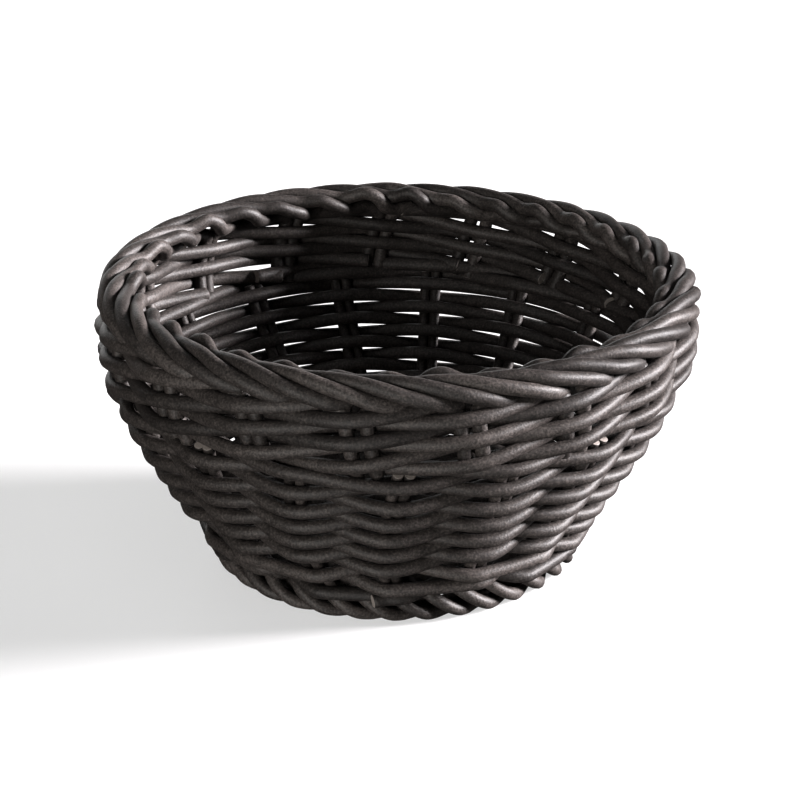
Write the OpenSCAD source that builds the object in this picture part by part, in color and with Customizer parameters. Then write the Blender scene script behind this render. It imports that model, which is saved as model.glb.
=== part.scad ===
// Round woven fruit basket of plastic cane. Every strand is a piece of its own.
// The origin is at the middle of the resting plane, +Z is up, units are millimetres.

/* [Cane] */
// Diameter of every strand
strand_d = 3.8; // [3.6:0.05:3.8]

/* [Wall] */
// Number of stake pairs around the basket, an odd number so that one weaver can run on
pairs = 17; // [17:2:19]
// Radius of the circle that the stakes stand on at the top of the wall
top_r = 99.25; // [98:0.25:102]
// Lean of the lower wall away from upright, in degrees
flare = 31; // [28:0.5:33]
// Height at which the wall begins to curve upright
bend_z = 56; // [52:0.5:58]
// Radius of that curve, seen from the side
bend_r = 64; // [60:0.5:68]

/* [Rows] */
// Height of the first row of the lower weaver
weave_z = 24.97; // [24.8:0.01:25.1]
// Rise of the lower weaver in one turn
weave_rise = 3.84; // [3.84:0.01:3.88]
// Number of turns that the lower weaver makes
lower_rounds = 12; // [10:1:12]
// Height of the first row of the upper weavers at the front of a stake pair
upper_z = 76.5; // [76.5:0.1:77]
// Rise of an upper weaver from one stake pair to the next
upper_rise = 3.84; // [3.8:0.01:3.86]

/* [Base] */
// Height of the middle of the woven base
base_z = 10.2; // [10.2:0.1:10.5]
// Radius of the first round of the base weave
base_first_r = 24.5; // [24.2:0.1:24.6]
// Distance from one round of the base weave to the next
base_pitch = 4.05; // [4.03:0.01:4.06]

/* [Hidden] */
sides = 6;
vertex_r = 1.06 * strand_d / 2;     // corners a little outside the round strand, flats a little inside
pair_pitch = 360 / pairs;           // degrees from one stake pair to the next
strands = 2 * pairs;                // one border strand and one foot strand for each rod
strand_pitch = 360 / strands;
flat_r = vertex_r * cos(180 / sides); // from the middle of a strand to one of its flat sides
rod_gap = 0.1;                      // between the two rods of a pair
rod_side = (strand_d + rod_gap) / 2;
weave_side = strand_d + 0.4;        // from the middle of a stake to the middle of a weaver
flat_half = 4.2;                    // half of the stretch that lies straight over a pair
flat_half_upper = 5.4;              // the same over an upper pair, whose rods stand apart
flat_half_stick = 2.3;              // the same over one base stick
end_gap = 0.5;                      // between the ends of two lengths of weaver

lower_turn = -88;                   // direction of the first lower stake pair
upper_turn = lower_turn - 7.5;      // direction of the first upper stake pair at its foot
upper_lean = 3;                     // degrees that an upper pair leans sideways in its height
upper_side = 3.2;                   // from the middle of an upper pair to the middle of each rod

bend_top = bend_z + bend_r * sin(flare);
cone_r = top_r - bend_r * (1 - cos(flare));

lower_stake_z = [base_z + 1.2, 16, 36, bend_z, 64, 71];
foot_of_stake_r = [50.4, 58.4];     // where a lower stake lies flat in the edge of the base
upper_stake_z = [72.9, 82, 92];
wale_z = [13.2, 17.05, 20.9];
wale_first = [10, 11, 9];           // the lower pair at which each wale strand is first outside
base_rounds = 8;
stick_end_r = 49.4;
stick_side = 2.06;                  // half of the distance between two sticks at the cross
cross_half = 12;                    // half of the length over which the two layers cross
spread_r = 24;                      // where the base sticks have spread to their directions

// The border, as [degrees along the rim, radius, height] from where a rod leaves the wall
border_way = [[0, top_r - 1, 95.8], [4, top_r - 4.8, 96], [6.5, top_r - 7.2, 97.5],
    [9, top_r - 8, 99.9], [12, top_r - 7.2, 101.6], [16.5, top_r - 4.7, 101.1],
    [24, top_r - 1.4, 102.5], [31, top_r + 2.2, 101.7], [36.5, top_r + 4, 99.8],
    [41.5, top_r + 3.9, 97.6]];
// The foot border, as [degrees along the foot, radius, height]
foot_way = [[0, 64.5, 7.2], [3.5, 64.5, 4.9], [7, 63.4, 2.9], [10.5, 61.2, flat_r],
    [18, 57.2, flat_r], [21, 55.8, flat_r]];

function pad(n) = str(n < 10 ? "0" : "", n);
LOWER_NODES = [for (k = [1 : lower_rounds]) str("lower_weaver_round_", pad(k))];
UPPER_NODES = [for (k = [1 : pairs]) str("upper_weaver_", pad(k))];
BASE_NODES = [for (k = [1 : base_rounds]) str("base_weaver_round_", pad(k))];
WALE_NODES = ["lower_wale_strand", "middle_wale_strand", "upper_wale_strand"];

// ---- the surface that the stakes stand on ----

function wall_r(z) =
    z >= bend_top ? top_r
    : z >= bend_z ? top_r - bend_r + sqrt(pow(bend_r, 2) - pow(bend_top - z, 2))
    : cone_r - (bend_z - z) * tan(flare);
function wall_tilt(z) =
    z >= bend_top ? 0
    : z >= bend_z ? asin((bend_top - z) / bend_r)
    : flare;
function at(turn, r, z) = [r * cos(turn), r * sin(turn), z];
function outward(turn, tilt) = [cos(turn) * cos(tilt), sin(turn) * cos(tilt), -sin(tilt)];
function wall_at(turn, z, off) = at(turn, wall_r(z), z) + off * outward(turn, wall_tilt(z));
function degrees_at(length, r) = length / r * 180 / PI;

// ---- a strand: a six-sided tube through points, each with a direction that faces outward ----

function unit(v) = v / norm(v);
function tangent(points, k, closed) =
    let (n = len(points),
        before = closed ? (k + n - 1) % n : max(k - 1, 0),
        after = closed ? (k + 1) % n : min(k + 1, n - 1))
    unit(points[after] - points[before]);
function section(point, along, out) =
    let (up = unit(cross(out, along)), side = cross(along, up))
    [for (i = [0 : sides - 1])
        point + vertex_r * (cos(360 * i / sides) * side + sin(360 * i / sides) * up)];

module strand(points, outs, closed = false) {
    n = len(points);
    corners = [for (k = [0 : n - 1])
        each section(points[k], tangent(points, k, closed), outs[k])];
    walls = [for (k = [0 : closed ? n - 1 : n - 2], i = [0 : sides - 1])
        let (a = k * sides + i,
            b = k * sides + (i + 1) % sides,
            c = (k + 1) % n * sides + (i + 1) % sides,
            d = (k + 1) % n * sides + i)
        each [[a, b, c], [a, c, d]]];
    caps = closed ? []
        : [[for (i = [sides - 1 : -1 : 0]) i], [for (i = [0 : sides - 1]) (n - 1) * sides + i]];
    polyhedron(corners, concat(walls, caps));
}

// ---- the weave of the wall ----

// Direction and side of a weaver at stake number u: +1 passes outside the pair, -1 inside.
function stake_turn(u) = lower_turn + 180 - pair_pitch / 2 + u * pair_pitch;

// Two points over each stake of a weaver's length. Each stop is [turn, height, side].
function wall_way(stops, straight = flat_half) =
    [for (s = stops)
        let (half = degrees_at(straight, wall_r(s[1])))
        each [wall_at(s[0] - half, s[1], s[2] * weave_side),
            wall_at(s[0] + half, s[1], s[2] * weave_side)]];
function wall_outs(stops) =
    [for (s = stops)
        let (out = outward(s[0], wall_tilt(s[1])))
        each [out, out]];
// An open length of weaver ends behind its last stake, so its end points are pulled in there.
function trimmed(way, stops) =
    let (n = len(way), first = stops[0], last = stops[len(stops) - 1],
        gap = degrees_at(end_gap / 2, wall_r(first[1])))
    [for (k = [0 : n - 1])
        k == 0 ? wall_at(first[0] + gap, first[1], first[2] * weave_side)
        : k == n - 1 ? wall_at(last[0] - gap, last[1], last[2] * weave_side)
        : way[k]];

// Round k of the lower weaver, from behind one stake pair to behind another.
function round_start(k) = pairs * k + (pairs * k % 2 == 0 ? 1 : 0);
module lower_round(k) {
    stops = [for (u = [round_start(k) : round_start(k + 1)])
        [stake_turn(u + 1), weave_z + weave_rise * u / pairs, u % 2 == 0 ? 1 : -1]];
    color("#544e4b")
        strand(trimmed(wall_way(stops), stops), wall_outs(stops));
}

// Each wale strand lies outside two pairs and inside the third, and is joined into a ring.
module wale(first, z) {
    stops = [for (j = [0 : pairs - 1])
        let (inside = j == pairs - 1 || (j % 3 == 2 && j < pairs - 2))
        [lower_turn + (j + first) * pair_pitch, z, inside ? -1 : 1]];
    color("#4e4845")
        strand(wall_way(stops), wall_outs(stops), closed = true);
}

// Upper weaver k starts beside its own pair and climbs to the border, in and out.
module upper_weaver(k) {
    turns = [0.5, 1, 2, 3, 4, 5, 5.6];
    sides_of_pair = [0, 1, -1, 1, -1, 1, -0.3];
    stops = [for (i = [0 : len(turns) - 1])
        let (z = upper_z + (turns[i] - 1) * upper_rise,
            lean = upper_lean * (z - upper_stake_z[0]) / 24)
        [upper_turn + (k + turns[i]) * pair_pitch - lean, z, sides_of_pair[i]]];
    color("#5a5451")
        strand(trimmed(wall_way(stops, flat_half_upper), stops), wall_outs(stops));
}

// ---- stakes, rim border and foot border ----

module lower_stake(turn) {
    up = [for (z = lower_stake_z) at(turn, wall_r(z), z)];
    points = concat([for (r = foot_of_stake_r) at(turn, r, base_z)], up);
    outs = [for (z = concat([0, 0], lower_stake_z)) outward(turn, z == 0 ? 90 : wall_tilt(z))];
    color("#48423f")
        strand(points, outs);
}

module lower_stake_pairs() {
    for (j = [0 : pairs - 1], side = [-1, 1])
        translate(side * rod_side * at(lower_turn + j * pair_pitch + 90, 1, 0))
            lower_stake(lower_turn + j * pair_pitch);
}

// One rod stands in an upper pair, then lies down along the rim as a border strand.
module upper_stake(pair_turn, side) {
    top_turn = pair_turn - upper_lean + side * strand_pitch / 2;
    beside = degrees_at(upper_side, top_r);
    up = [for (z = upper_stake_z)
        at(pair_turn - upper_lean * (z - upper_stake_z[0]) / 24 + side * beside, wall_r(z), z)];
    over = [for (w = border_way) at(top_turn + w[0], w[1], w[2])];
    points = concat(up, over);
    outs = [for (p = points) unit([p[0], p[1], 0])];
    color("#5e5855")
        strand(points, outs);
}

module upper_stakes_and_rim_border() {
    for (j = [0 : pairs - 1], side = [-1, 1])
        upper_stake(upper_turn + j * pair_pitch, side);
}

// Short strands that roll under the foot and lie flat on the resting plane.
module foot_border_strands() {
    color("#463f3c")
        for (j = [0 : strands - 1]) {
            points = [for (w = foot_way) at(lower_turn + j * strand_pitch + w[0], w[1], w[2])];
            strand(points, [for (p = points) unit([p[0], p[1], 0])]);
        }
}

// ---- the woven base ----

function stick_turn(j) = lower_turn + j * pair_pitch;

// A stick that runs right through the cross, from stick direction a to stick direction b.
module through_stick(turn, side, z, a, b) {
    ahead = [cos(turn), sin(turn), 0];
    aside = [-sin(turn), cos(turn), 0];
    points = [at(stick_turn(a), stick_end_r, base_z), at(stick_turn(a), spread_r, base_z),
        side * aside + cross_half * ahead + [0, 0, z],
        side * aside - cross_half * ahead + [0, 0, z],
        at(stick_turn(b), spread_r, base_z), at(stick_turn(b), stick_end_r, base_z)];
    strand(points, [for (p = points) [0, 0, 1]]);
}

module base_sticks_under() {
    color("#3f3a37")
        for (m = [0 : 3])
            through_stick(stick_turn(1.75), (m - 1.5) * 2 * stick_side, base_z - stick_side,
                m, 12 - m);
}

module base_sticks_over() {
    color("#4a4441")
        for (m = [0 : 3])
            through_stick(stick_turn(5.75), (m - 1.5) * 2 * stick_side, base_z + stick_side,
                4 + m, 16 - m);
}

module odd_base_stick() {
    points = [for (r = [18, stick_end_r]) at(stick_turn(8), r, base_z)];
    color("#3a3532")
        strand(points, [for (p = points) [0, 0, 1]]);
}

// Round k of the base weaver, over and under the base sticks as it spirals outward.
module base_round(k) {
    first = round_start(k);
    last = round_start(k + 1);
    stops = [for (u = [first : last])
        [stake_turn(u), base_first_r + base_pitch * u / pairs, u % 2 == 0 ? 1 : -1]];
    points = [for (i = [0 : last - first])
        let (s = stops[i],
            half = degrees_at(s[1] > stick_end_r - 1 ? flat_half : flat_half_stick, s[1]),
            gap = degrees_at(end_gap / 2, s[1]),
            back = i == 0 ? -gap : half,
            on = i == last - first ? -gap : half)
        each [at(s[0] - back, s[1], base_z + s[2] * weave_side),
            at(s[0] + on, s[1], base_z + s[2] * weave_side)]];
    color("#5a5350")
        strand(points, [for (p = points) [0, 0, 1]]);
}

// ---- the assembly ----

base_sticks_under();
base_sticks_over();
odd_base_stick();
foot_border_strands();
lower_stake_pairs();
upper_stakes_and_rim_border();
for (k = [0 : base_rounds - 1])
    base_round(k);
for (k = [0 : len(wale_z) - 1])
    wale(wale_first[k], wale_z[k]);
for (k = [0 : lower_rounds - 1])
    lower_round(k);
for (k = [0 : pairs - 1])
    upper_weaver(k);
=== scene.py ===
"""Round woven fruit basket of dark plastic cane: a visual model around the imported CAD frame.

Lengths are in millimetres, which Strands.build turns into metres. Turns are in degrees round +Z,
counted from +X; the front of the basket is at -90.
"""

import math

import bpy
import numpy as np
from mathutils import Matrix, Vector


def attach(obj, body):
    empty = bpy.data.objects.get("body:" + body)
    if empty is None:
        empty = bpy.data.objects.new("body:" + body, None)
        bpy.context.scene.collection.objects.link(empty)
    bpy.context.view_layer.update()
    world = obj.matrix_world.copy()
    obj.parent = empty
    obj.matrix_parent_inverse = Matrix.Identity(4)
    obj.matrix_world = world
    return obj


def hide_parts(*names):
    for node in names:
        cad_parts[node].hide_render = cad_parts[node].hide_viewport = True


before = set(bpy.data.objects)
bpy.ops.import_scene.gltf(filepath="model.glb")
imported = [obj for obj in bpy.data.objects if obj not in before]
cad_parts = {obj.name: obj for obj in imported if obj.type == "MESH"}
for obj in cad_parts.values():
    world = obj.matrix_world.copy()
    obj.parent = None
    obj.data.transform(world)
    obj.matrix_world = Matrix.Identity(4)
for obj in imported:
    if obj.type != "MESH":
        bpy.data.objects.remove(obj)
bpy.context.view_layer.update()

# ---- the basket's plan, as in the CAD source ----

PAIRS = 17                        # of stakes; an odd number, so that the weave alternates by itself
PITCH = 360 / PAIRS
STRAND_PITCH = PITCH / 2
LOWER_TURN = -88.0                # where the first lower pair stands
UPPER_TURN = LOWER_TURN - 7.5     # where the first upper pair begins
UPPER_LEAN = 3.0                  # how far round the upper pairs lean over LEAN_HEIGHT
LEAN_HEIGHT = 24.0

FLARE = math.radians(31)          # the wall: a cone, then an arc that ends upright
BEND_Z = 56.0
BEND_R = 64.0
TOP_R = 99.25
BEND_TOP = BEND_Z + BEND_R * math.sin(FLARE)
CONE_R = TOP_R - BEND_R * (1 - math.cos(FLARE))

WEAVE_Z = 24.97                   # where the weaver of the lower wall begins to climb
WEAVE_RISE = 3.84                 # how much it climbs in a round
LOWER_ROUNDS = 12
WALE_Z = (13.2, 17.05, 20.9)
UPPER_Z = 76.5
UPPER_RISE = 3.84
UPPER_SIDE = 3.2                  # from the middle of an upper pair to its rods
BASE_Z = 10.2
BASE_ROUNDS = 8
BASE_FIRST_R = 24.5
BASE_PITCH = 4.05
STICK_END_R = 49.4
STICK_FAN_R = 24.0                # where the base sticks have left the cross and fan out
CROSS_HALF = 12.0

# ---- sizes of this model's own, in which it departs from the CAD or adds to it ----

R_WEAVER = 2.42
R_UPPER = 2.52
R_ROD = 1.97
R_BORDER = 2.5
R_FOOT = 2.3
ROD_SIDE = 1.97                   # from the middle of a lower pair to its rods
UPPER_FOOT_Z = 72.4               # height from which the upper pairs lean
WEAVE_SIDE = 3.95                 # from the middle of the wall to a weaver, where it passes a pair
UPPER_WEAVE_SIDE = 3.35
BEVEL = 0.22                      # worn edge of a cut end

# how much higher than planned a row of the wale or of the lower weave lies
ROW_Z = (10, 13, 17, 21, 25, 55, 61, 65, 69, 72)
ROW_LIFT = (0.2, 0.3, 0.7, 1.1, 0.8, 1.3, 2.0, 2.8, 2.1, 1.2)

# how far each lower pair slants sideways on its way down, and the share of it at some heights
SLANTS = (
    -4.0, 0.5, -2.0, -3.0, -1.5, -2.5, -3.5, -2.0, -1.0,
    -2.5, -3.0, -2.0, -1.5, -3.5, -2.5, -3.0, -4.5,
)
SLANT_Z = (10, 14, 24, 30, 68, 76)
SLANT_SHARE = (0.2, 0.5, 0.9, 1.0, 0.0, -0.1)

rng = np.random.default_rng(17)


# ---- the surface that the stakes stand on ----

def wall_r(z):
    z = np.asarray(z, float)
    cone = CONE_R - (BEND_Z - z) * math.tan(FLARE)
    arc = TOP_R - BEND_R + np.sqrt(np.maximum(BEND_R**2 - (BEND_TOP - z) ** 2, 0))
    return np.where(z >= BEND_TOP, TOP_R, np.where(z >= BEND_Z, arc, cone))


def wall_tilt(z):
    z = np.asarray(z, float)
    arc = np.arcsin(np.clip((BEND_TOP - z) / BEND_R, -1, 1))
    return np.where(z >= BEND_TOP, 0.0, np.where(z >= BEND_Z, arc, FLARE))


def at(turn, r, z):
    turn, r, z = np.broadcast_arrays(np.radians(turn), r, z)
    return np.stack([r * np.cos(turn), r * np.sin(turn), z], -1).astype(float)


def outward(turn, tilt):
    """Unit vector out of the wall in the direction turn, where the wall is tilted by tilt radians."""
    turn, tilt = np.broadcast_arrays(np.radians(turn), tilt)
    return np.stack(
        [np.cos(turn) * np.cos(tilt), np.sin(turn) * np.cos(tilt), -np.sin(tilt)], -1
    )


def wall_at(turn, z, off):
    """The point at height z of the wall, moved outward by off."""
    return at(turn, wall_r(z), z) + np.asarray(off)[..., None] * outward(turn, wall_tilt(z))


def radial(points):
    out = points * (1, 1, 0)
    return out / np.linalg.norm(out, axis=1)[:, None]


def turns_of(points):
    return np.degrees(np.arctan2(points[:, 1], points[:, 0]))


# ---- curves ----

def smooth(points, step=1.0):
    """A Catmull-Rom curve through the points, sampled every step millimetres."""
    p = np.asarray(points, float)
    p = np.vstack([2 * p[0] - p[1], p, 2 * p[-1] - p[-2]])
    out = []
    for a, b, c, d in zip(p[:-3], p[1:-2], p[2:-1], p[3:]):
        n = max(2, int(np.linalg.norm(c - b) / step + 0.5))
        t = np.linspace(0, 1, n, endpoint=False)[:, None]
        ta, tb, tc = (np.sqrt(np.linalg.norm(v)) + 1e-6 for v in (b - a, c - b, d - c))
        m1 = (c - b) / tb - (c - a) / (ta + tb) + (b - a) / ta
        m2 = (d - c) / tc - (d - b) / (tb + tc) + (c - b) / tb
        m1, m2 = m1 * tb, m2 * tb
        out.append(
            (2 * t**3 - 3 * t**2 + 1) * b
            + (t**3 - 2 * t**2 + t) * m1
            + (-2 * t**3 + 3 * t**2) * c
            + (t**3 - t**2) * m2
        )
    out.append(p[-2:-1])
    return np.vstack(out)


def weave_side(u):
    """Side of a weaver at stake number u: +1 outside and -1 inside, with a slight corner at each."""
    wave = np.cos(math.pi * np.asarray(u, float))
    return 0.45 * wave + 0.55 * np.arcsin(0.95 * wave) / math.asin(0.95)


def stake_turn(u):
    return LOWER_TURN + 180 - PITCH / 2 + u * PITCH


def round_start(k):
    """Number of the stake where round k of a weave begins, which is always an odd one."""
    return PAIRS * k + (1 if PAIRS * k % 2 == 0 else 0)


def lower_top(turn):
    """Height of the last round of the lower weave above the direction turn."""
    u = np.mod((np.asarray(turn, float) - stake_turn(1)) / PITCH, PAIRS)
    return WEAVE_Z + WEAVE_RISE * (LOWER_ROUNDS - 1 + u / PAIRS)


def raised(z):
    """Height at which a row of the wale or lower weave planned at z really lies."""
    return z + np.interp(z, ROW_Z, ROW_LIFT)


def slanted(turn, z):
    """The direction that a lower pair, upright at turn in the plan, really has at height z."""
    pair = np.mod((np.asarray(turn, float) - LOWER_TURN) / PITCH, PAIRS)
    slant = np.interp(pair, np.arange(PAIRS + 1), SLANTS + SLANTS[:1])
    return turn + slant * np.interp(z, SLANT_Z, SLANT_SHARE)


def warp(points):
    """This basket isn't quite true: its rim isn't level, and its lower wall sits to one side."""
    x, y, z = points.T
    turn = np.arctan2(y, x)
    high = np.clip((z - 40) / 60, 0, 1) ** 1.5
    lift = -0.25 - 1.05 * np.cos(turn) - 0.45 * np.sin(turn)
    fuller = 1 + np.interp(z, (68, 78, 90, 97), (0, 0.014, 0.014, 0))
    aside = np.interp(z, (0, 12, 30, 60, 85, 100), (-1.5, -2.0, -2.6, -2.6, -1.5, 0))
    return np.stack([x * fuller + aside, y * fuller, z + high * lift], -1)


# ---- strands ----

def axes(points, outs, closed):
    """Unit vectors at each point of a strand: along it, across it towards outs, and square to both."""
    if closed:
        along = np.roll(points, -1, 0) - np.roll(points, 1, 0)
    else:
        along = np.gradient(points, axis=0)
    along /= np.linalg.norm(along, axis=1)[:, None]
    side = outs - (outs * along).sum(1)[:, None] * along
    side /= np.linalg.norm(side, axis=1)[:, None]
    return along, side, np.cross(along, side)


class Strands:
    """Round strands gathered into one mesh, with their length and tone kept for the material."""

    def __init__(self, sides=12):
        self.sides = sides
        self.angle = 2 * math.pi * np.arange(sides) / sides
        self.verts, self.faces, self.uvs, self.tone, self.cut, self.flat = [], [], [], [], [], []
        self.count = 0

    def add(self, points, outs, radius, closed=False, ends=(True, True), tone=None):
        """Add a strand along the points; ends says which of its ends are cut and can be seen."""
        points = np.asarray(points, float)
        n = len(points)
        along, side, up = axes(points, outs, closed)
        radius = np.broadcast_to(np.asarray(radius, float), (n,))

        def ring(k, r):
            cos, sin = np.cos(self.angle)[:, None], np.sin(self.angle)[:, None]
            return points[k] + r * (cos * side[k] + sin * up[k])

        rings = [ring(k, radius[k]) for k in range(n)]
        steps = np.linalg.norm(np.diff(points, axis=0), axis=1)
        where = [0.0] + list(np.cumsum(steps))
        cut = [0.0] * n
        if ends[0] and not closed:
            rings.insert(0, ring(0, radius[0] - BEVEL) - BEVEL * along[0])
            where.insert(0, -BEVEL)
            cut.insert(0, 1.0)
        if ends[1] and not closed:
            rings.append(ring(n - 1, radius[-1] - BEVEL) + BEVEL * along[-1])
            where.append(where[-1] + BEVEL)
            cut.append(1.0)
        self.skin(len(rings), where, closed)
        self.verts.append(np.vstack(rings))
        self.tone += [rng.uniform() if tone is None else tone] * (len(rings) * self.sides)
        self.cut += list(np.repeat(cut, self.sides))
        self.count += len(rings) * self.sides

    def skin(self, rings, where, closed):
        """Faces between a new strand's rings, and on its ends if it has any."""
        s, base = self.sides, self.count
        for k in range(rings if closed else rings - 1):
            j = (k + 1) % rings
            u0, u1 = where[k], where[j] if j else where[k] + 1.0
            a, b = base + k * s, base + j * s
            for i in range(s):
                h = (i + 1) % s
                self.faces.append((a + i, a + h, b + h, b + i))
                self.uvs += [(u0, i / s), (u0, (i + 1) / s), (u1, (i + 1) / s), (u1, i / s)]
                self.flat.append(False)
        if not closed:
            disc = [(0.5 + 0.5 * math.cos(a), 0.5 + 0.5 * math.sin(a)) for a in self.angle]
            final = base + (rings - 1) * s
            self.faces.append(tuple(base + i for i in range(s - 1, -1, -1)))
            self.uvs += [(where[0] + d[0], d[1]) for d in reversed(disc)]
            self.faces.append(tuple(final + i for i in range(s)))
            self.uvs += [(where[-1] + d[0], d[1]) for d in disc]
            self.flat += [True, True]

    def build(self, name, nodes, material):
        mesh = bpy.data.meshes.new(name)
        verts = warp(np.vstack(self.verts)) * 0.001
        mesh.from_pydata(verts.tolist(), [], self.faces)
        mesh.polygons.foreach_set("use_smooth", [not f for f in self.flat])
        uv = mesh.uv_layers.new(name="Strand")
        uv.data.foreach_set("uv", (np.asarray(self.uvs, np.float32) * (0.001, 1.0)).ravel())
        for key, values in (("tone", self.tone), ("cut", self.cut)):
            mesh.attributes.new(key, "FLOAT", "POINT").data.foreach_set("value", values)
        mesh.materials.append(material)
        mesh.update()
        piece = bpy.data.objects.new(name, mesh)
        bpy.context.scene.collection.objects.link(piece)
        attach(piece, "root")
        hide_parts(*nodes)


# ---- material ----

def cane_material(name):
    """Matte plastic cane: fine grain, streaks along the strand, and pale cut ends."""
    material = bpy.data.materials.new(name)
    material.use_nodes = True
    tree = material.node_tree
    nodes, links = tree.nodes, tree.links
    nodes.clear()

    def add(kind, **values):
        made = nodes.new(kind)
        for key, value in values.items():
            setattr(made, key, value)
        return made

    def noise(source, scale, detail):
        n = add("ShaderNodeTexNoise")
        n.inputs["Scale"].default_value = scale
        n.inputs["Detail"].default_value = detail
        n.inputs["Roughness"].default_value = 0.6
        links.new(source, n.inputs["Vector"])
        return n.outputs["Fac"]

    def combine(kind, a, b):
        m = add("ShaderNodeMath", operation=kind)
        for socket, value in zip(m.inputs, (a, b)):
            if isinstance(value, float):
                socket.default_value = value
            else:
                links.new(value, socket)
        return m.outputs[0]

    out = add("ShaderNodeOutputMaterial")
    bsdf = add("ShaderNodeBsdfPrincipled")
    links.new(bsdf.outputs["BSDF"], out.inputs["Surface"])
    bsdf.inputs["IOR"].default_value = 1.45
    bsdf.inputs["Specular IOR Level"].default_value = 0.4

    place = add("ShaderNodeTexCoord").outputs["Object"]
    stretch = add("ShaderNodeMapping")
    stretch.inputs["Scale"].default_value = (90.0, 2.6, 1.0)
    links.new(add("ShaderNodeUVMap", uv_map="Strand").outputs["UV"], stretch.inputs["Vector"])

    grain = noise(place, 1350.0, 3.0)
    mottle = noise(place, 300.0, 3.0)
    streak = noise(stretch.outputs["Vector"], 1.0, 4.0)
    tone = add("ShaderNodeAttribute", attribute_name="tone").outputs["Fac"]
    cut = add("ShaderNodeAttribute", attribute_name="cut").outputs["Fac"]

    level = combine("ADD", combine("MULTIPLY", grain, 0.50), combine("MULTIPLY", mottle, 0.14))
    level = combine("ADD", level, combine("MULTIPLY", streak, 0.10))
    level = combine("ADD", level, combine("MULTIPLY", tone, 0.12))
    ramp = add("ShaderNodeValToRGB")
    dark, light = ramp.color_ramp.elements
    dark.position, dark.color = 0.31, (0.013, 0.0112, 0.0104, 1)
    light.position, light.color = 0.57, (0.098, 0.085, 0.079, 1)
    middle = ramp.color_ramp.elements.new(0.43)
    middle.color = (0.038, 0.0329, 0.0305, 1)
    links.new(level, ramp.inputs["Fac"])
    ends = add("ShaderNodeMix", data_type="RGBA")
    links.new(cut, ends.inputs["Factor"])
    links.new(ramp.outputs["Color"], ends.inputs["A"])
    ends.inputs["B"].default_value = (0.30, 0.27, 0.25, 1)
    links.new(ends.outputs["Result"], bsdf.inputs["Base Color"])

    rough = add("ShaderNodeMapRange")
    links.new(mottle, rough.inputs["Value"])
    rough.inputs["To Min"].default_value = 0.44
    rough.inputs["To Max"].default_value = 0.62
    links.new(rough.outputs["Result"], bsdf.inputs["Roughness"])

    height = combine("ADD", combine("MULTIPLY", grain, 0.7), combine("MULTIPLY", streak, 0.3))
    bump = add("ShaderNodeBump")
    bump.inputs["Strength"].default_value = 0.8
    bump.inputs["Distance"].default_value = 0.00028
    links.new(height, bump.inputs["Height"])
    links.new(bump.outputs["Normal"], bsdf.inputs["Normal"])
    return material


CANE = cane_material("cane_matte")


# ---- base ----

def up_outs(points):
    return np.tile([0.0, 0.0, 1.0], (len(points), 1))


def stick_turn(j):
    return LOWER_TURN + j * PITCH


def through_stick(group, turn, side, z, a, b):
    """A base stick that fans in from pair a, runs straight over the cross, and fans out to pair b."""
    t = math.radians(turn)
    ahead = np.array([math.cos(t), math.sin(t), 0])
    aside = np.array([-math.sin(t), math.cos(t), 0])
    fan = (STICK_END_R, 36, STICK_FAN_R)
    way = [at(stick_turn(a), r, BASE_Z) for r in fan]
    way += [side * aside + x * ahead + (0, 0, z) for x in (CROSS_HALF, 0, -CROSS_HALF)]
    way += [at(stick_turn(b), r, BASE_Z) for r in reversed(fan)]
    p = smooth(way, 1.5)
    group.add(p, up_outs(p), R_ROD)


STICK_PITCH = 4.05                # between the sticks of a layer, where they cross
STICK_LAYER = 2.0                 # height of a layer's middle above or below the base's middle

for name, start, quarter, layer in (
    ("base_sticks_under", 0, 1.75, -1),
    ("base_sticks_over", 4, 5.75, 1),
):
    group = Strands(10)
    for m in range(4):
        side, z = (m - 1.5) * STICK_PITCH, BASE_Z + layer * STICK_LAYER
        through_stick(group, stick_turn(quarter), side, z, start + m, start + 12 - m)
    group.build(name + "_cane", [name], CANE)

group = Strands(10)
p = smooth([at(stick_turn(8), r, BASE_Z) for r in (18, 30, 40, STICK_END_R)], 1.5)
group.add(p, up_outs(p), R_ROD)
group.build("odd_base_stick_cane", ["odd_base_stick"], CANE)

for k in range(BASE_ROUNDS):
    extra = PAIRS if k == BASE_ROUNDS - 1 else 0     # the last one goes round once more
    u = np.linspace(round_start(k), round_start(k + 1) + extra, 700)
    r = BASE_FIRST_R + BASE_PITCH * u / PAIRS
    p = at(stake_turn(u), r, BASE_Z + WEAVE_SIDE * weave_side(u))
    group = Strands(10)
    group.add(p, up_outs(p), R_WEAVER, tone=0.5)
    group.build(f"base_weave_{k + 1:02d}", [f"base_weaver_round_{k + 1:02d}"], CANE)

# ---- foot ----

# turn, radius and height along a foot strand: from under the wale, down, in and under the base
FOOT_WAY = (
    (-4.5, 61.5, 12.5), (-2.2, 63.6, 10.6), (0, 64.8, 8.6), (3.5, 65.2, 5.8), (7, 64.2, 3.6),
    (10.5, 61.9, 2.4), (15, 59.4, 2.3), (22, 56.8, 2.4), (32, 54.0, 3.0),
)
group = Strands(12)
for j in range(2 * PAIRS):
    jitter = rng.normal(0, 0.35)
    way = []
    for turn, r, z in FOOT_WAY:
        way.append(at(LOWER_TURN + j * STRAND_PITCH + turn + jitter, r + rng.normal(0, 0.1), z))
    p = smooth(way, 0.9)
    p[:, 2] = np.maximum(p[:, 2], R_FOOT)
    group.add(p, radial(p), R_FOOT)
group.build("foot_border_cane", ["foot_border_strands"], CANE)

# ---- lower stakes ----

STAKE_FOOT_R = (50.6, 55, 59.4)              # along the base, before a stake turns up
STAKE_HEIGHTS = (11.4, 13.5, 16, 26, 36, 46, 56, 64)
STAKE_TOP_Z = 70.2

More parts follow.
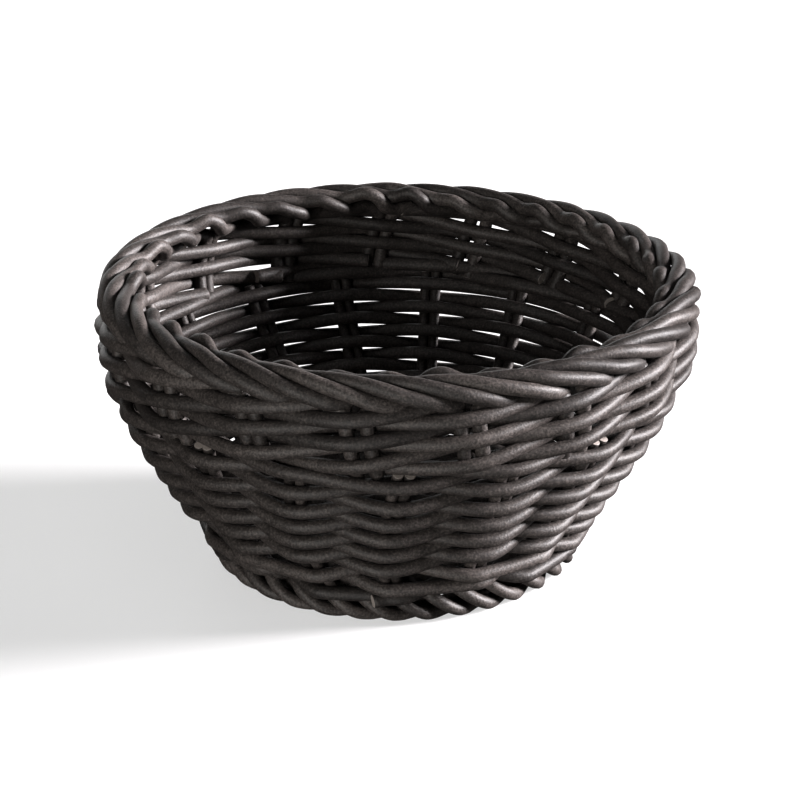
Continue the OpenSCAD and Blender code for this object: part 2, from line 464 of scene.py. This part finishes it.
group = Strands(12)
for j in range(PAIRS):
    for side in (-1, 1):
        turn = LOWER_TURN + j * PITCH
        heights = np.array([*STAKE_HEIGHTS, STAKE_TOP_Z + rng.uniform(-0.6, 0.6)])
        way = [at(turn, r, BASE_Z) for r in STAKE_FOOT_R]
        way += list(at(slanted(turn, heights), wall_r(heights), heights))
        p = smooth(way, 1.2) + side * ROD_SIDE * at(turn + 90, 1, 0)
        group.add(p, outward(turn, wall_tilt(p[:, 2])), R_ROD)
group.build("lower_stakes_cane", ["lower_stake_pairs"], CANE)

# ---- wale ----

WALE_HALF = 2.6                   # half of the straight stretch of a wale strand beside a pair
CUT_TURN = -95.8                  # where the lower wale strand is cut off
TUCKED = 22                       # points, a millimetre apart, over which its other end sinks in
LOOSE = 9                         # and over which the cut end bends away


def wale_ring(shift, z):
    """A strand round the wall at height z, outside two pairs and inside the next.

    That is counted from pair shift; since 17 isn't a multiple of 3, the last time it is one and one.
    """
    stops = []
    for j in range(PAIRS):
        inside = j == PAIRS - 1 or (j % 3 == 2 and j < PAIRS - 2)
        turn = slanted(LOWER_TURN + (j + shift) * PITCH, z)
        half = math.degrees(WALE_HALF / wall_r(z))
        off = -WEAVE_SIDE if inside else WEAVE_SIDE
        stops += [wall_at(turn - half, z, off), wall_at(turn + half, z, off)]
    p = smooth(stops[-2:] + stops + stops[:2], 1.0)
    middle = len(p) // 2
    first = int(np.argmin(np.linalg.norm(p[: len(p) // 3] - stops[0], axis=1)))
    final = middle + int(np.argmin(np.linalg.norm(p[middle:] - stops[0], axis=1)))
    return p[first:final]


def opened(ring):
    """The ring with two ends at the front: one is cut off outside, the other is tucked under."""
    p = np.roll(ring, -int(np.argmin(np.abs(turns_of(ring) - CUT_TURN))), 0)
    p = np.vstack([p, p[:6]])
    place = np.arange(len(p))[:, None]
    tuck = np.clip(place - len(p) + TUCKED, 0, None) / TUCKED
    p = p - tuck * (4.2 * radial(p) + (0, 0, 0.9))
    loose = np.clip(LOOSE - place, 0, None) / LOOSE
    return p + loose**2 * (2.2 * radial(p) - (0, 0, 0.5))


for shift, z, name in zip((10, 11, 9), WALE_Z, ("lower", "middle", "upper")):
    closed = name != "lower"
    p = wale_ring(shift, float(raised(z)))
    if not closed:
        p = opened(p)
    group = Strands(12)
    group.add(p, outward(turns_of(p), wall_tilt(p[:, 2])), R_WEAVER, closed=closed)
    group.build(name + "_wale_cane", [name + "_wale_strand"], CANE)

# ---- lower weave ----

HIDDEN = 0.07                     # how far a length runs on inside the next, in stake numbers
THINNER = 0.08                    # and how much thinner it is there
UNEVEN = rng.normal(0, 0.14, 400)     # how far a row is off its height, by stake number
RUN_SAMPLES = 26                  # points on the weaver from one pair to the next
LEVEL_PAIRS = 8.1                 # how many pairs the weaver passes level on the wale at first
FRONT = round_start(LOWER_ROUNDS - 1) + 7     # in the last round, the stake left of the front pair


def weave_run(group, first, last, ends=(False, False), side_of=weave_side, drop_of=lambda u: 0 * u):
    """The lower weaver between two stake numbers, with the ends that are cut."""
    low, high = first - (0 if ends[0] else HIDDEN), last + (0 if ends[1] else HIDDEN)
    u = np.linspace(first, last, int((last - first) * RUN_SAMPLES) + 1)
    u = np.concatenate([[low] * (low < first), u, [high] * (high > last)])
    radius = np.where((u < first) | (u > last), R_WEAVER - THINNER, R_WEAVER)
    z = raised(WEAVE_Z + WEAVE_RISE * u / PAIRS - drop_of(u))
    z = z + np.interp(u, np.arange(len(UNEVEN)), UNEVEN)
    turn = slanted(stake_turn(u + 1), z)
    p = wall_at(turn, z, WEAVE_SIDE * side_of(u))
    group.add(p, outward(turn, wall_tilt(z)), radius, ends=ends, tone=0.5)


def over_two(u):
    """Side of the strand that passes outside two pairs at the front."""
    return np.where(u < FRONT, weave_side(u), np.where(u < FRONT + 1, 1.0, -weave_side(u)))


def sinking(u):
    """How far below its spiral that strand lies: it sinks to the row below."""
    t = np.clip(u - FRONT, 0, 1)
    return WEAVE_RISE * t * t * (3 - 2 * t)


def level_start(u):
    """The same for the weaver's level start: below 0, because its spiral would lie lower there."""
    return 0.9 * WEAVE_RISE / PAIRS * np.minimum(u - 1, 0)


for k in range(LOWER_ROUNDS):
    first, last = round_start(k), round_start(k + 1)
    group = Strands(12)
    if k == 0:                     # lies level on the wale before it starts to climb
        weave_run(group, first - LEVEL_PAIRS, last, (True, False), drop_of=level_start)
    elif k == LOWER_ROUNDS - 2:    # at the front its place is taken by the round above
        weave_run(group, first, FRONT - PAIRS, (False, True))
        weave_run(group, FRONT - PAIRS + 2.05, last, (True, False))
    elif k == LOWER_ROUNDS - 1:    # sinks over two pairs at the front; a new length begins behind
        weave_run(group, first, FRONT + 1.95, (False, True), over_two, sinking)
        weave_run(group, FRONT + 1.05, last, (True, True))
    else:
        weave_run(group, first, last)
    group.build(f"lower_weave_{k + 1:02d}", [f"lower_weaver_round_{k + 1:02d}"], CANE)

# ---- upper weave ----

EVEN_TOP_Z = 68.82                # top of the lower weave that leaves an upper weaver at its height
FRONT_WEAVERS = (0, 16)           # these two begin at the front and dip further than the others

for k in range(PAIRS):
    u = np.linspace(0.06, 5.85, 170)
    z = UPPER_Z + (u - 1) * UPPER_RISE
    lean = UPPER_LEAN * (z - UPPER_FOOT_Z) / LEAN_HEIGHT
    turn = UPPER_TURN + (k + u) * PITCH - lean
    step = 0.6 * (float(lower_top(UPPER_TURN + k * PITCH)) - EVEN_TOP_Z)
    dip = 2.6 if k in FRONT_WEAVERS else 0.6
    z = z + step * np.clip(1 - u / 3, 0, 1) - dip * np.clip(1 - u / 1.4, 0, 1)
    z = z + np.interp(u, np.arange(8), rng.normal(0, 0.18, 8))
    p = wall_at(turn, z, -UPPER_WEAVE_SIDE * weave_side(u))
    group = Strands(12)
    group.add(p, outward(turn, wall_tilt(z)), R_UPPER)
    group.build(f"upper_weave_{k + 1:02d}", [f"upper_weaver_{k + 1:02d}"], CANE)

# ---- upper stakes and rim border ----

# turn, radius past TOP_R and height along a rim strand: in, up in an arch, over, out and down
BORDER_WAY = (
    (0, -1.0, 95.6), (4, -4.8, 96.0), (6.5, -7.2, 97.7), (8.8, -8.0, 100.1), (11.5, -7.4, 101.9),
    (15.8, -4.9, 101.0), (20.6, -3.0, 102.1), (26, -0.4, 102.7), (31.2, 2.1, 101.7),
    (36.5, 3.6, 99.7), (41, 3.3, 97.6), (44, 1.7, 96.2), (47, -1.0, 95.2),
)
UPPER_START_Z = 69.6
UPPER_HEIGHTS = (78, 83, 88, 92.5)
BESIDE = math.degrees(UPPER_SIDE / TOP_R)

group = Strands(12)
for j in range(PAIRS):
    for side in (-1, 1):
        turn = UPPER_TURN + j * PITCH
        top = turn - UPPER_LEAN + side * STRAND_PITCH / 2
        heights = np.array([UPPER_START_Z + rng.uniform(-0.8, 0.8), *UPPER_HEIGHTS])
        lean = UPPER_LEAN * (heights - UPPER_FOOT_Z) / LEAN_HEIGHT + rng.normal(0, 0.5)
        way = list(at(turn - lean + side * BESIDE, wall_r(heights), heights))
        arch = rng.uniform(-1.0, 1.8)
        for ahead, out, z in BORDER_WAY:
            g = rng.normal(0, 0.18, 3)
            up = arch if 8 < ahead < 13 else 0.0     # no two strands arch alike
            way.append(at(top + ahead + g[0], TOP_R + out + g[1], z + 0.6 * g[2] + up))
        p = smooth(way, 1.0)
        group.add(p, radial(p), R_BORDER)
group.build("upper_stakes_and_rim_cane", ["upper_stakes_and_rim_border"], CANE)

# ---- stage ----

bpy.ops.mesh.primitive_plane_add(size=12)
floor = bpy.context.object
floor.name = "floor"
paint = bpy.data.materials.new("floor_white")
paint.use_nodes = True
white = paint.node_tree.nodes["Principled BSDF"].inputs
white["Base Color"].default_value = (0.4, 0.4, 0.4, 1)
white["Roughness"].default_value = 0.9
white["Emission Color"].default_value = (1, 1, 1, 1)
white["Emission Strength"].default_value = 0.45
floor.data.materials.append(paint)
floor.visible_diffuse = False     # the glowing floor sends no light up to the basket,
floor.visible_glossy = False      # isn't mirrored in it,
floor.visible_shadow = False      # and lets the "table" light through from below


def soft_sun(name, source, strength, spread, color=(1, 1, 1)):
    """A lamp in the direction source, spread degrees across."""
    lamp = bpy.data.lights.new(name, "SUN")
    lamp.energy = strength
    lamp.angle = math.radians(spread)
    lamp.color = color
    holder = bpy.data.objects.new(name, lamp)
    holder.rotation_euler = (-Vector(source)).to_track_quat("-Z", "Y").to_euler()
    bpy.context.scene.collection.objects.link(holder)


soft_sun("key", (1.0, 0.12, 0.30), 13.5, 18, (1.0, 0.965, 0.985))
soft_sun("fill", (-0.50, -1.0, 0.16), 2.0, 24, (1.0, 0.975, 0.94))
soft_sun("table", (-0.1, -0.8, -0.45), 0.8, 30)
soft_sun("back", (-0.25, 1.0, 0.12), 0.8, 40)
soft_sun("top", (-0.2, -0.3, 1.0), 0.3, 50)

world = bpy.data.worlds.new("studio")
world.use_nodes = True
sky = world.node_tree.nodes["Background"].inputs
sky["Color"].default_value = (1, 1, 1, 1)
sky["Strength"].default_value = 0.025
bpy.context.scene.world = world
view = bpy.context.scene.view_settings
view.view_transform = "Standard"
view.exposure = 0.4
view.gamma = 0.85

# ---- camera ----

TARGET = Vector((0.0, 0.0, 0.0559))

lens = bpy.data.cameras.new("camera")
lens.lens = 124.3
lens.sensor_width = 36
lens.clip_start = 0.05
camera = bpy.data.objects.new("camera", lens)
camera.location = (0.0, -0.9076, 0.4367)
camera.rotation_euler = (TARGET - camera.location).to_track_quat("-Z", "Y").to_euler()
bpy.context.scene.collection.objects.link(camera)
bpy.context.scene.camera = camera
